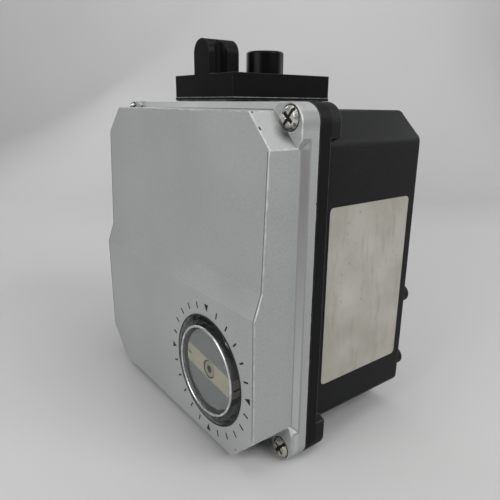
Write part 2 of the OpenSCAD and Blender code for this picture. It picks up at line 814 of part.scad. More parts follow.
module zero_rod() color("#c9cbcc") {
    on_lever() translate([-spring_arm, spool_y, 0]) {
        translate([0, 0, -15]) cylinder(r = rod_radius, h = 18.5);
        translate([0, 0, 3.5]) cylinder(r = collar_radius, h = collar_top - 3.5);
        translate([0, 0, 3.5]) cylinder(r = 1.4, h = collar_top);
    }
}

module zero_nut() color("#b08d4a") {
    on_lever() translate([-spring_arm, spool_y, -9.05]) difference() {
        cylinder(r = 6, h = 5.5);
        translate([0, 0, -1]) cylinder(r = rod_radius + pivot_gap, h = 8);
        for (a = [0:30:330]) rotate([0, 0, a]) translate([6.4, 0, -1]) cylinder(r = 1, h = 8, $fn = 16);
    }
}

module feedback_spring() color("#a8a9aa") {
    translate([(spring_x + spring_lean) / 2, spool_y, 0])
        coil(3.2, 0.6, spring_foot, beam_z - beam_half - 0.05, 10);
}

module cam() color("#9fa1a2") {
    difference() {
        union() {
            translate([shaft_x, 0, shaft_z]) slab(cam_front, cam_back) polygon(cam_profile);
            bar(shaft_x, shaft_z, cam_front, cam_back + 5, 9);
        }
        bar(shaft_x, shaft_z, cam_front - 1, cam_back + 6, shaft_radius);
    }
}

module cam_nut() color("#b08d4a") {
    difference() {
        translate([shaft_x, cam_front - 6, shaft_z]) rotate([-90, 0, 0]) cylinder(r = 9, h = 6, $fn = 6);
        bar(shaft_x, shaft_z, cam_front - 7, cam_front + 1, shaft_radius);
    }
}

module feedback_shaft() color("#c9cbcc") {
    front = drum_face + drum_plate;
    difference() {
        union() {
            bar(shaft_x, shaft_z, front, cam_front - 6.5, 4);
            bar(shaft_x, shaft_z, cam_front - 7, shaft_end, shaft_radius);
            bar(shaft_x, shaft_z, bearing_front - 4.5, bearing_front - 1.1, shaft_radius + 2.4);
        }
        bar(shaft_x, shaft_z, front - 1, front + 12, 1.6);
        difference() {
            bar(shaft_x, shaft_z, rear + 2, rear + 3, shaft_radius + 1);
            bar(shaft_x, shaft_z, rear + 1, rear + 4, shaft_radius - 0.5);
        }
    }
}

module inner_bush() color("#b08d4a") {
    difference() {
        union() {
            bar(shaft_x, shaft_z, bearing_front, bearing_front + 7, bush_radius);
            bar(shaft_x, shaft_z, bearing_front - 1, bearing_front, bush_radius + 1.6);
        }
        bar(shaft_x, shaft_z, bearing_front - 2, bearing_front + 8, shaft_radius + pivot_gap);
    }
}

module outer_bush() color("#b08d4a") {
    difference() {
        bar(shaft_x, shaft_z, bearing_front + 13, bearing_back, bush_radius);
        bar(shaft_x, shaft_z, bearing_front + 12, bearing_back + 1, shaft_radius + pivot_gap);
    }
}

module shaft_seal() color("#1a1a1a") {
    difference() {
        bar(shaft_x, shaft_z, bearing_front + 8.5, bearing_front + 11.5, bush_radius);
        bar(shaft_x, shaft_z, bearing_front + 8, bearing_front + 12, shaft_radius + pivot_gap);
    }
}

module shaft_clip() color("#6d6f70") {
    clip(shaft_x, shaft_z, rear + 2, shaft_radius - 0.5, shaft_radius + 3);
}

module indicator_drum() color("#6c6c6c") {
    difference() {
        bar(shaft_x, shaft_z, drum_face, drum_face + drum_length, drum_radius);
        bar(shaft_x, shaft_z, drum_face + drum_plate, drum_face + drum_length + 1, drum_radius - 1.6);
        bar(shaft_x, shaft_z, drum_face - 1, drum_face + drum_plate + 1, 1.8);
        bar(shaft_x, shaft_z, drum_face - 1, drum_face + 1.2, 4.6);
    }
    difference() {
        bar(shaft_x, shaft_z, drum_face + drum_plate, drum_face + drum_length, 7);
        bar(shaft_x, shaft_z, drum_face + drum_plate - 1, drum_face + drum_length + 1, 4);
    }
}

module indicator_screw() color("#c8c6bf") {
    difference() {
        union() {
            bar(shaft_x, shaft_z, drum_face + 0.1, drum_face + 1.2, 3.9);
            bar(shaft_x, shaft_z, drum_face + 1.2, drum_face + 11, 1.5);
        }
        translate([shaft_x, drum_face, shaft_z]) rotate([-90, 0, 0]) cylinder(r = 2.1, h = 0.9, $fn = 6);
    }
}

module supply_filter() color("#b7a780") {
    cross_bar(filter_end - 1.8, filter_end, ports[1], filter_radius);
}

translate([0, -y_mid, 0]) {
    housing();
    front_cover();
    cover_gasket();
    cover_screws();
    indicator_window();
    window_seal();
    window_keeper();
    keeper_screws();
    gasket_plate();
    valve_block();
    block_screws();
    valve_sleeve();
    spool();
    spool_spring();
    end_cap();
    movement_plate();
    plate_screws();
    capsule_base();
    diaphragm();
    capsule_cover();
    diaphragm_stem();
    signal_tube();
    balance_beam();
    beam_pin();
    beam_clip();
    feedback_spring();
    follower_lever();
    lever_pin();
    lever_clip();
    cam_roller();
    roller_pin();
    zero_rod();
    zero_nut();
    cam();
    cam_nut();
    feedback_shaft();
    inner_bush();
    outer_bush();
    shaft_seal();
    shaft_clip();
    indicator_drum();
    indicator_screw();
    supply_filter();
}
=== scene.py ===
import json
import math

import bmesh
import bpy
from mathutils import Matrix, Vector


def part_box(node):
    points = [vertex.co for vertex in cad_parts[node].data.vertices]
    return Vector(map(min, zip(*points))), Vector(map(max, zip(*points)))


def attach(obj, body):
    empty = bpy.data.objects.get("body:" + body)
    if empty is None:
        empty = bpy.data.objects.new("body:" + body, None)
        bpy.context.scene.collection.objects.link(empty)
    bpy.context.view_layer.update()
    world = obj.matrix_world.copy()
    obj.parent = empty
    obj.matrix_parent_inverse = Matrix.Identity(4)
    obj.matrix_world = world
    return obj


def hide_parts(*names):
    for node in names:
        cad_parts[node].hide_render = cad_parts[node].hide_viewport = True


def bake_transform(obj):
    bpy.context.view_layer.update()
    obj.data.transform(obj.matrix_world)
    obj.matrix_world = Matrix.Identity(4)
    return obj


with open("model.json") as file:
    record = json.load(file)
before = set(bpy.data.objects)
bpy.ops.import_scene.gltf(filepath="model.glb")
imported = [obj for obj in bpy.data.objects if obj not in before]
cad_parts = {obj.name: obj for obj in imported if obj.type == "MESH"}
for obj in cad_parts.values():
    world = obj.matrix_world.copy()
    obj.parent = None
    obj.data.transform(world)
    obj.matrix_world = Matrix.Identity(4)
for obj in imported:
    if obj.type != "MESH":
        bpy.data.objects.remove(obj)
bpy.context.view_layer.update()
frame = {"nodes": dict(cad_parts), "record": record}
nodes = frame["nodes"]
mounts = {m["name"]: m for m in frame["record"]["mounts"]}

# Sizes and places of the solids, in metres in the row frame
MM = 0.001
SEAM_Y = -0.0298
FRONT_Y = SEAM_Y - 0.029
PAD_Y = SEAM_Y - 0.0092
RIM_Y = SEAM_Y + 0.0064
SIDE_X = 0.0732
PANEL_X = 0.075
SHAFT = Vector((0.0392, 0.0, 0.0389))
DRUM_FACE_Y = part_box("indicator_drum")[0].y
DRUM_R = 0.0194
DRUM_LENGTH = 0.01
WINDOW_R = 0.0268
WINDOW_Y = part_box("indicator_window")[0].y
HEAD_R = 0.00475
RIGHTWARD, REARWARD, UPWARD = Vector((1, 0, 0)), Vector((0, 1, 0)), Vector((0, 0, 1))


# Node materials

class Shader:
    """A material's node tree with short ways to add and join nodes."""

    def __init__(self, name):
        self.material = bpy.data.materials.new(name)
        self.material.use_nodes = True
        self.nodes = self.material.node_tree.nodes
        self.links = self.material.node_tree.links
        self.surface = self.nodes["Principled BSDF"]
        self.coords = self.nodes.new("ShaderNodeTexCoord").outputs["Object"]

    def set(self, **values):
        for key, value in values.items():
            self.surface.inputs[key.replace("_", " ")].default_value = value
        return self

    def noise(self, scale, detail=3.0, stretch=None):
        vector = self.coords
        if stretch:
            mapping = self.nodes.new("ShaderNodeMapping")
            mapping.inputs["Scale"].default_value = stretch
            self.links.new(vector, mapping.inputs["Vector"])
            vector = mapping.outputs["Vector"]
        node = self.nodes.new("ShaderNodeTexNoise")
        node.inputs["Scale"].default_value = scale
        node.inputs["Detail"].default_value = detail
        self.links.new(vector, node.inputs["Vector"])
        return node.outputs["Fac"]

    def spread(self, value, low, high, out_low=0.0, out_high=1.0):
        node = self.nodes.new("ShaderNodeMapRange")
        node.inputs["From Min"].default_value = low
        node.inputs["From Max"].default_value = high
        node.inputs["To Min"].default_value = out_low
        node.inputs["To Max"].default_value = out_high
        self.links.new(value, node.inputs["Value"])
        return node.outputs["Result"]

    def mix(self, share, a, b):
        node = self.nodes.new("ShaderNodeMix")
        node.data_type = "RGBA"
        self.links.new(share, node.inputs["Factor"])
        for socket, value in ((node.inputs[6], a), (node.inputs[7], b)):
            if isinstance(value, tuple):
                socket.default_value = (*value, 1.0)
            else:
                self.links.new(value, socket)
        return node.outputs[2]

    def math(self, operation, a, b):
        node = self.nodes.new("ShaderNodeMath")
        node.operation = operation
        for socket, value in ((node.inputs[0], a), (node.inputs[1], b)):
            if isinstance(value, (int, float)):
                socket.default_value = value
            else:
                self.links.new(value, socket)
        return node.outputs[0]

    def axis(self, index):
        node = self.nodes.new("ShaderNodeSeparateXYZ")
        self.links.new(self.coords, node.inputs[0])
        return node.outputs[index]

    def band(self, value, low, high, blur=0.0001):
        """Share that is 1 between two levels."""
        rise = self.spread(value, low - blur, low + blur)
        fall = self.spread(value, high + blur, high - blur)
        return self.math("MULTIPLY", rise, fall)

    def near(self, point, radius):
        """Share that grows to 1 at a point, and at its mirror images, from 0 at a radius."""
        mirrored = self.nodes.new("ShaderNodeVectorMath")
        mirrored.operation = "ABSOLUTE"
        self.links.new(self.coords, mirrored.inputs[0])
        distance = self.nodes.new("ShaderNodeVectorMath")
        distance.operation = "DISTANCE"
        self.links.new(mirrored.outputs["Vector"], distance.inputs[0])
        distance.inputs[1].default_value = [abs(c) for c in point]
        return self.spread(distance.outputs["Value"], radius, 0.0)

    def sprayed(self, grain):
        """Broad unevenness, fine grain, and both together as one tone."""
        broad = self.noise(16, 4)
        fine = self.noise(grain, 2)
        both = self.math("ADD", self.math("MULTIPLY", broad, 0.45), self.math("MULTIPLY", fine, 0.55))
        return broad, fine, self.spread(both, 0.36, 0.64)

    def colour(self, socket):
        self.links.new(socket, self.surface.inputs["Base Color"])
        return self

    def roughness(self, socket):
        self.links.new(socket, self.surface.inputs["Roughness"])
        return self

    def bump(self, height, strength, distance):
        node = self.nodes.new("ShaderNodeBump")
        node.inputs["Strength"].default_value = strength
        node.inputs["Distance"].default_value = distance
        self.links.new(height, node.inputs["Height"])
        self.links.new(node.outputs["Normal"], self.surface.inputs["Normal"])
        return self


def painted(name, dark, light, rough, grain, bump, shine=0.5):
    """Sprayed or moulded finish: broad uneven tone, fine grain, a little relief."""
    s = Shader(name).set(Specular_IOR_Level=shine)
    broad, fine, tone = s.sprayed(grain)
    s.colour(s.mix(tone, dark, light))
    s.roughness(s.spread(broad, 0.3, 0.7, rough - 0.06, rough + 0.08))
    return s.bump(fine, bump, 0.0002).material


# Zones of the cover's paint: bands in front of the seam, heights, and painted shade beside the screws as
# (point, radius); most zones carry painted shade
RIM_BEVEL = (SEAM_Y - 0.0075, SEAM_Y - 0.0048)
RIM_EDGES = (SEAM_Y - 0.0085, SEAM_Y - 0.0037)
FLANK_FADE = (0.0725, 0.0735)
SIDE_TOP_FADE = (0.143, 0.142)
TOP_BAND_FADE = (0.1566, 0.1568)
SHOULDER_RISE, SHOULDER_FALL = (0.149, 0.1545), (0.1574, 0.156)
# heights over which the side bevel's painted shade darkens upwards, and the span over which the top band's
# painted shade darkens to the left
SIDE_SHADE_HEIGHTS, TOP_SHADE_SPAN = (0.035, 0.125), (0.05, -0.045)
FACET_FADE = (PAD_Y, PAD_Y - 0.0005)
FACET_SHADE = (0.0699, SEAM_Y - 0.0112, 0.1479), 0.0058
PAD_SHADE = (0.0625, SEAM_Y - 0.0094, 0.0045), 0.007
SHADE_TONE = (0.055, 0.054, 0.053)


def cover_coat():
    """Silver paint over a casting, with painted shade on the bevel round the rim, on the cover's upper
    corners and on the top band, and painted shade beside the screws.
    """
    s = Shader("cover_paint").set(Metallic=0.4)
    broad, fine, tone = s.sprayed(1500)
    x, y, z = (s.axis(i) for i in range(3))
    bevel = s.band(y, *RIM_BEVEL)
    flank = s.spread(s.math("ABSOLUTE", x, 0.0), *FLANK_FADE)
    level = s.math("MULTIPLY", s.spread(z, *SHOULDER_RISE), s.spread(z, *SHOULDER_FALL))
    shade_and_grime = s.math("MULTIPLY", s.near(*FACET_SHADE), s.spread(y, *FACET_FADE))
    # painted shade on the side bevel: lighter low down, darker towards its top
    shade_and_wear = s.mix(s.spread(z, *SIDE_SHADE_HEIGHTS), (0.41, 0.412, 0.41), (0.232, 0.22, 0.221))
    # painted shade on the top band: darker towards the left
    top_shade = s.mix(s.spread(x, *TOP_SHADE_SPAN), (0.3, 0.308, 0.306), (0.215, 0.22, 0.219))
    paint = s.mix(tone, (0.30, 0.308, 0.306), (0.355, 0.363, 0.361))
    paint = s.mix(s.math("MULTIPLY", bevel, s.spread(z, *SIDE_TOP_FADE)), paint, shade_and_wear)
    paint = s.mix(s.math("MULTIPLY", bevel, s.spread(z, *TOP_BAND_FADE)), paint, top_shade)
    # painted shade on the shoulders at the top of both sides of the cover
    paint = s.mix(s.math("MULTIPLY", flank, level), paint, (0.19, 0.193, 0.193))
    # painted shade on the facets below the upper screws and round the lower screws
    paint = s.mix(shade_and_grime, paint, SHADE_TONE)
    s.colour(s.mix(s.near(*PAD_SHADE), paint, SHADE_TONE))
    s.roughness(s.spread(broad, 0.3, 0.7, 0.42, 0.56))
    return s.bump(fine, 0.08, 0.0002).material


def housing_coat():
    """Sprayed black casting, darker on the rim at the joint than on the wall."""
    s = Shader("housing_coat").set(Specular_IOR_Level=0.11)
    broad, fine, tone = s.sprayed(1100)
    rim = s.mix(tone, (0.002, 0.002, 0.0022), (0.004, 0.004, 0.0043))
    wall = s.mix(tone, (0.006, 0.0063, 0.0066), (0.0105, 0.0108, 0.0112))
    s.colour(s.mix(s.spread(s.axis(1), RIM_Y - 0.0002, RIM_Y), rim, wall))
    s.roughness(s.spread(broad, 0.3, 0.7, 0.44, 0.58))
    return s.bump(fine, 0.22, 0.0002).material


def metal(name, dark, light, rough, stretch=None, bump=0.08):
    """Turned, drawn or plated metal with fine lines, longer in one direction if stretched."""
    s = Shader(name).set(Metallic=1.0)
    lines = s.noise(900, 3, stretch)
    stain = s.noise(120, 3)
    s.colour(s.mix(s.spread(stain, 0.35, 0.7), light, dark))
    s.roughness(s.spread(lines, 0.3, 0.7, rough - 0.07, rough + 0.1))
    return s.bump(lines, bump, 0.0001).material


def stained_plate():
    """Nickel plate on old screws, bright with patches of brown rust."""
    s = Shader("stained_nickel").set(Metallic=1.0)
    stain = s.noise(120, 3)
    rust = s.noise(380, 3)
    plate = s.mix(s.spread(stain, 0.35, 0.7), (0.7, 0.685, 0.65), (0.42, 0.39, 0.34))
    s.colour(s.mix(s.spread(rust, 0.55, 0.64, 0.0, 0.85), plate, (0.085, 0.06, 0.045)))
    s.roughness(s.spread(rust, 0.42, 0.66, 0.22, 0.5))
    return s.bump(rust, 0.08, 0.0001).material


def rubber(name, dark, light):
    """Matt black rubber with a fine grain."""
    s = Shader(name)
    grain = s.noise(700, 4)
    s.colour(s.mix(s.spread(grain, 0.3, 0.7), dark, light))
    s.roughness(s.spread(grain, 0.3, 0.7, 0.65, 0.85))
    return s.bump(grain, 0.15, 0.0002).material


def clear_plastic(name):
    """Thin clear moulded window with faint hairline scuffs under a glossy skin."""
    s = Shader(name).set(IOR=1.03, Transmission_Weight=1.0)
    s.set(Coat_Weight=0.7, Coat_IOR=1.45, Coat_Roughness=0.04)
    scuffs = s.noise(260, 5, (1.0, 1.0, 6.0))
    s.colour(s.mix(s.spread(scuffs, 0.3, 0.8), (0.97, 0.98, 0.98), (0.9, 0.92, 0.92)))
    s.roughness(s.spread(scuffs, 0.45, 0.75, 0.0, 0.05))
    return s.material


def printed(name, colour, shade_and_wear, rough, shine=0.5):
    """Screen-printed ink, thin and slightly patchy."""
    s = Shader(name).set(Specular_IOR_Level=shine)
    patch = s.noise(900, 4)
    s.colour(s.mix(s.spread(patch, 0.45, 0.75), colour, shade_and_wear))
    s.roughness(s.spread(patch, 0.3, 0.7, rough - 0.05, rough + 0.1))
    return s.material


def drum_finish():
    """Black moulded drum with a grey printed face."""
    s = Shader("drum_plastic")
    grain = s.noise(1800, 3)
    tone = s.spread(grain, 0.35, 0.65)
    face = s.mix(tone, (0.094, 0.094, 0.097), (0.114, 0.114, 0.117))
    skirt = s.mix(tone, (0.006, 0.006, 0.007), (0.012, 0.012, 0.013))
    s.colour(s.mix(s.spread(s.axis(1), DRUM_FACE_Y + 0.0001, DRUM_FACE_Y + 0.0002), face, skirt))
    s.roughness(s.spread(grain, 0.3, 0.7, 0.45, 0.6))
    return s.bump(grain, 0.04, 0.0001).material


def aged_label():
    """Off-white plate, yellowed unevenly, with brown specks and rubbed patches."""
    s = Shader("label_sheet")
    broad = s.noise(38, 5)
    specks = s.noise(420, 4)
    runs = s.noise(90, 4, (1.0, 3.0, 0.7))
    base = s.mix(s.spread(broad, 0.35, 0.68), (0.275, 0.26, 0.222), (0.37, 0.36, 0.325))
    base = s.mix(s.spread(runs, 0.54, 0.74, 0.0, 0.5), base, (0.22, 0.2, 0.16))
    base = s.mix(s.spread(specks, 0.66, 0.74, 0.0, 0.6), base, (0.17, 0.13, 0.085))
    s.colour(base)
    s.roughness(s.spread(broad, 0.3, 0.7, 0.38, 0.55))
    return s.bump(specks, 0.05, 0.0001).material


def bead_finish():
    """Polished edge of the clear window, slightly milky."""
    s = Shader("window_bead").set(Metallic=0.8)
    haze = s.noise(300, 3)
    s.colour(s.mix(s.spread(haze, 0.35, 0.65), (0.55, 0.555, 0.56), (0.7, 0.705, 0.71)))
    s.roughness(s.spread(haze, 0.3, 0.7, 0.1, 0.22))
    return s.material


def cover_edge():
    """Edges of the cover, rubbed bright round the front panel and the screw pads only, the brightness
    partly a painted highlight; darker along the rim bevel, matching its painted shade.
    """
    s = Shader("cover_edge").set(Metallic=0.4)
    rub = s.noise(240, 5)
    bright = s.mix(s.spread(rub, 0.45, 0.7), (0.33, 0.338, 0.336), (0.5, 0.51, 0.51))
    s.colour(s.mix(s.band(s.axis(1), *RIM_EDGES), bright, (0.26, 0.263, 0.262)))
    s.roughness(s.spread(rub, 0.3, 0.7, 0.39, 0.54))
    return s.material


def worn_and_highlit_edge(name, paint, bare_and_highlit, rubbed, rough, shine=0.5):
    """Edge of a finish, brighter where its noise lies in the rubbed range: rubbed paint, and on the
    housing also a painted highlight.
    """
    s = Shader(name).set(Specular_IOR_Level=shine)
    rub = s.noise(240, 5)
    s.colour(s.mix(s.spread(rub, *rubbed), paint, bare_and_highlit))
    s.roughness(s.spread(rub, 0.3, 0.7, rough - 0.05, rough + 0.1))
    return s.material


ALONG_Y, ALONG_X = (1.0, 8.0, 1.0), (6.0, 1.0, 1.0)
FINISH = {
    "cover_silver": cover_coat(),
    "housing_black": housing_coat(),
    "block_black": painted("block_anodised", (0.004, 0.004, 0.0043), (0.0065, 0.0066, 0.0068),
                           rough=0.36, grain=1700, bump=0.12, shine=0.06),
    "plate_black": painted("plate_moulded", (0.003, 0.003, 0.0033), (0.0055, 0.0055, 0.0058),
                           rough=0.5, grain=1300, bump=0.1, shine=0.09),
    "window_clear": clear_plastic("window_clear"),
    "seal_rubber": rubber("seal_rubber", (0.010, 0.010, 0.010), (0.022, 0.022, 0.022)),
    "nickel": metal("nickel_plate", (0.4, 0.37, 0.32), (0.66, 0.64, 0.6), rough=0.3, bump=0.04),
    "dark_steel": metal("dark_steel", (0.045, 0.045, 0.048), (0.1, 0.1, 0.105), rough=0.38),
    "steel": metal("ground_steel", (0.42, 0.42, 0.42), (0.6, 0.6, 0.6), 0.3, ALONG_Y),
    "brass": metal("turned_brass", (0.42, 0.28, 0.1), (0.62, 0.45, 0.19), 0.3, ALONG_Y),
    "light_alloy": metal("machined_alloy", (0.46, 0.47, 0.48), (0.62, 0.63, 0.64), 0.36, ALONG_X),
    "drum_plastic": drum_finish(),
    "roller_plastic": painted("roller_plastic", (0.6, 0.56, 0.46), (0.72, 0.68, 0.58),
                              rough=0.45, grain=1600, bump=0.05),
}
EDGE = {
    "front_cover": cover_edge(),
    # the housing's brighter edges are partly a painted highlight line along them
    "housing": worn_and_highlit_edge("housing_edge", (0.008, 0.0082, 0.0085), (0.05, 0.0505, 0.051),
                         rubbed=(0.5, 0.7), rough=0.44, shine=0.2),
    "valve_block": worn_and_highlit_edge("block_edge", (0.004, 0.004, 0.0043), (0.06, 0.06, 0.06),
                             rubbed=(0.66, 0.74), rough=0.4, shine=0.12),
    "gasket_plate": worn_and_highlit_edge("plate_edge", (0.03, 0.03, 0.03), (0.14, 0.14, 0.14),
                              rubbed=(0.4, 0.6), rough=0.5),
}
OWN_FINISH = {
    "end_cap": painted("cap_moulded", (0.0015, 0.0015, 0.0016), (0.003, 0.003, 0.0032),
                       rough=0.32, grain=1700, bump=0.08, shine=0.07),
    "cover_screws": stained_plate(),
    "indicator_screw": metal("dull_zinc", (0.26, 0.24, 0.2), (0.4, 0.38, 0.33), rough=0.46, bump=0.03),
}
for part in frame["record"]["subparts"]:
    node = part["node"]
    mesh = nodes[node].data
    mesh.materials.clear()
    mesh.materials.append(OWN_FINISH.get(node) or FINISH[part["material_slot"]])
    if node in EDGE:
        mesh.materials.append(EDGE[node])


# Cast and machined edges

SHARP_ANGLE = math.radians(28)
LONG_EDGE = 0.0025
CORNER = {"side": 0.0645, "low": 0.0125, "high": 0.1475}
EDGE_WIDTH_MM = {"front_cover": 0.45, "housing": 0.5, "valve_block": 0.3, "end_cap": 0.3,
                 "gasket_plate": 0.4, "cover_screws": 0.2, "indicator_screw": 0.12}
WINDOW_EDGE = {"width": 0.3 * MM, "segments": 3, "angle": math.radians(15)}


def soften(node, width, segments=2, angle=SHARP_ANGLE):
    """Rounds the sharp edges of a solid without changing its mesh."""
    obj = nodes[node]
    weld = obj.modifiers.new("weld", "WELD")
    weld.merge_threshold = 1e-6
    bevel = obj.modifiers.new("edges", "BEVEL")
    bevel.width = width
    bevel.segments = segments
    if "bevel_weight_edge" in obj.data.attributes:
        bevel.limit_method = "WEIGHT"
    else:
        bevel.limit_method = "ANGLE"
        bevel.angle_limit = angle
    bevel.use_clamp_overlap = False
    if node in EDGE:
        bevel.material = 1
    shade = obj.modifiers.new("shade", "WEIGHTED_NORMAL")
    shade.weight = 100
    shade.keep_sharp = True


def in_corner(point):
    return abs(point.x) > CORNER["side"] and not CORNER["low"] < point.z < CORNER["high"]


def mark_long_edges(mesh):
    """Gives bevel weight to a casting's sharp long edges and its corners; edges of holes stay crisp."""
    def key(ends):
        return frozenset(tuple(round(c, 6) for c in mesh.vertices[i].co) for i in ends)

    sides = {}
    for face in mesh.polygons:
        for ends in face.edge_keys:
            sides.setdefault(key(ends), []).append(face.normal.copy())
    weights = mesh.attributes.new("bevel_weight_edge", "FLOAT", "EDGE")
    for edge in mesh.edges:
        a, b = (mesh.vertices[i].co for i in edge.vertices)
        normals = sides[key(edge.vertices)]
        sharp = len(normals) == 2 and normals[0].angle(normals[1], 0.0) > SHARP_ANGLE
        at_corner = in_corner(a) and in_corner(b)
        rounded = sharp and (at_corner or (a - b).length > LONG_EDGE)
        weights.data[edge.index].value = float(rounded)
        edge.use_edge_sharp = sharp and not rounded


mark_long_edges(nodes["housing"].data)
for node, width in EDGE_WIDTH_MM.items():
    soften(node, width * MM)
soften("indicator_window", **WINDOW_EDGE)


# Mesh pieces

def piece(name, build, material, body):
    """A new mesh from a bmesh builder, riding on a body, or baked in place when given two as (a, b, start,
    end).
    """
    bm = bmesh.new()
    build(bm)
    bmesh.ops.recalc_face_normals(bm, faces=bm.faces)
    mesh = bpy.data.meshes.new(name)
    bm.to_mesh(mesh)
    bm.free()
    mesh.materials.append(material)
    obj = bpy.data.objects.new(name, mesh)
    bpy.context.scene.collection.objects.link(obj)
    if isinstance(body, str):
        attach(obj, body)
    else:
        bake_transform(obj)
    return obj


def prism(bm, outline, offset):
    """Closed prism from a flat outline of points, moved along offset."""
    low = [bm.verts.new(p) for p in outline]
    high = [bm.verts.new(Vector(p) + offset) for p in outline]
    bm.faces.new(low)
    bm.faces.new(high)
    for i in range(len(low)):
        j = (i + 1) % len(low)
        bm.faces.new((low[i], low[j], high[j], high[i]))


def skin(bm, rows, closed=False, smooth=True):
    """Faces between rows of vertices round a section; closed joins the last row to the first."""
    following = rows[1:] + rows[:1] if closed else rows[1:]
    for a, b in zip(rows, following):
        for j in range(len(a)):
            k = (j + 1) % len(a)
            bm.faces.new((a[j], a[k], b[k], b[j])).smooth = smooth
    if not closed:
        bm.faces.new(rows[0])
        bm.faces.new(rows[-1])


def arc(centre, radius, start, end, steps):
    return [(centre[0] + radius * math.cos(a), centre[1] + radius * math.sin(a))
            for a in (start + (end - start) * i / steps for i in range(steps + 1))]


def turns(count):
    """Angles of a full turn in equal steps."""
    return [2 * math.pi * i / count for i in range(count)]


# Bare label on the right side

LABEL = {"y": (SEAM_Y + 0.0119, SEAM_Y + 0.0658), "z": (0.0326, 0.117), "corner": 0.0022, "thick": 0.00025}


def label(bm):
    (y0, y1), (z0, z1), r = LABEL["y"], LABEL["z"], LABEL["corner"]
    quarter = math.pi / 2
    outline = []
    for i, (y, z) in enumerate([(y1 - r, z1 - r), (y0 + r, z1 - r), (y0 + r, z0 + r), (y1 - r, z0 + r)]):
        outline += arc((y, z), r, i * quarter, (i + 1) * quarter, 6)
    prism(bm, [(SIDE_X, y, z) for y, z in outline], RIGHTWARD * LABEL["thick"])


piece("label_plate", label, aged_label(), "case")

# Dial printed round the window: a tick every 15 degrees, a triangle at each quarter

INK = printed("dial_ink", (0.004, 0.004, 0.0045), (0.01, 0.01, 0.011), rough=0.55, shine=0.2)
INK_THICK = 0.00005
DIAL_MARKS = 24
TICK = {"from": 0.0297, "to": 0.0329, "half": 0.00042}
TRIANGLE = {"point": 0.0295, "base": 0.0331, "half": 0.0016}


def dial(bm):
    centre = Vector((SHAFT.x, FRONT_Y, SHAFT.z))
    h, t = TRIANGLE["half"], TICK["half"]
    triangle = ((TRIANGLE["base"], h), (TRIANGLE["base"], -h), (TRIANGLE["point"], 0))
    tick = ((TICK["from"], -t), (TICK["from"], t), (TICK["to"], t), (TICK["to"], -t))
    for i, a in enumerate(turns(DIAL_MARKS)):
        out = Vector((math.cos(a), 0, math.sin(a)))
        side = Vector((-math.sin(a), 0, math.cos(a)))
        shape = tick if i % (DIAL_MARKS // 4) else triangle
        prism(bm, [centre + out * r + side * w for r, w in shape], REARWARD * -INK_THICK)


piece("dial_marks", dial, INK, "case")

# Stripe across the drum's face and down its side

STRIPE_TILT = math.radians(-7)
STRIPE_HALF = 0.005
STRIPE_THICK = 0.00006
STRIPE_HOLE_R = 0.0046
FACE_MARGIN = 0.0001
SIDE_SUNK = 0.0002
SIDE_STRIPE = {"half": STRIPE_HALF, "lift": STRIPE_THICK, "margin": 0.0002}
SIDE_LINE = {"half": 0.0004, "lift": 0.00012, "margin": 0.0004}
FACE_MARK = {"from": -0.0188, "to": -0.0155, "half": 0.00035}
ALONG = Vector((math.cos(STRIPE_TILT), 0, math.sin(STRIPE_TILT)))
ACROSS = Vector((-math.sin(STRIPE_TILT), 0, math.cos(STRIPE_TILT)))


def on_face(u, v, lift):
    return Vector((SHAFT.x, DRUM_FACE_Y - lift, SHAFT.z)) + ALONG * u + ACROSS * v


def stripe_face(bm):
    """The stripe in two halves, clear of the hole for the centre screw."""
    reach = math.asin(STRIPE_HALF / DRUM_R)
    quarter = math.pi / 2
    for turn, edge in ((0, STRIPE_HALF), (math.pi, -STRIPE_HALF)):
        rim = arc((0, 0), DRUM_R - FACE_MARGIN, turn - reach, turn + reach, 16)
        hole = arc((0, 0), STRIPE_HOLE_R, turn + quarter, turn - quarter, 24)
        outline = rim + [(0, edge)] + hole + [(0, -edge)]
        prism(bm, [on_face(u, v, 0) for u, v in outline], REARWARD * -STRIPE_THICK)


def side_patch(half, lift, margin):
    """Print down the drum's side at both ends of the stripe."""
    def build(bm):
        reach = math.asin(half / DRUM_R)
        for turn in (0, math.pi):
            inner = arc((0, 0), DRUM_R - SIDE_SUNK, turn - reach, turn + reach, 12)
            outer = arc((0, 0), DRUM_R + lift, turn + reach, turn - reach, 12)
            outline = [on_face(u, v, -margin) for u, v in inner + outer]
            prism(bm, outline, REARWARD * (DRUM_LENGTH - 2 * margin))
    return build


def stripe_mark(bm):
    left, right, h = FACE_MARK["from"], FACE_MARK["to"], FACE_MARK["half"]
    shape = [on_face(u, v, STRIPE_THICK) for u, v in ((left, -h), (right, -h), (right, h), (left, h))]
    prism(bm, shape, REARWARD * -STRIPE_THICK)


BEIGE = printed("stripe_ink", (0.275, 0.255, 0.175), (0.31, 0.29, 0.21), rough=0.5)
piece("stripe_face", stripe_face, BEIGE, "shaft")
piece("stripe_side", side_patch(**SIDE_STRIPE), BEIGE, "shaft")
piece("stripe_line", side_patch(**SIDE_LINE), INK, "shaft")
piece("stripe_mark", stripe_mark, INK, "shaft")

# Polished bead round the front of the window, and the dark lip of its seal

BEAD = {"radius": 0.0213, "thick": 0.00068}
BEAD_SUNK = 0.0004
LIP = {"radius": WINDOW_R - 0.0001, "thick": 0.00034}
LIP_PROUD = 0.0001


def ring(y, radius, thick):
    """Closed ring of round section about the shaft's axis."""
    def build(bm):
        rows = []
        for a in turns(144):
            out = Vector((math.cos(a), 0, math.sin(a)))
            centre = Vector((SHAFT.x, y, SHAFT.z)) + out * radius
            section = [out * math.cos(b) + REARWARD * math.sin(b) for b in turns(12)]
            rows.append([bm.verts.new(centre + ray * thick) for ray in section])
        skin(bm, rows, closed=True)
    return build


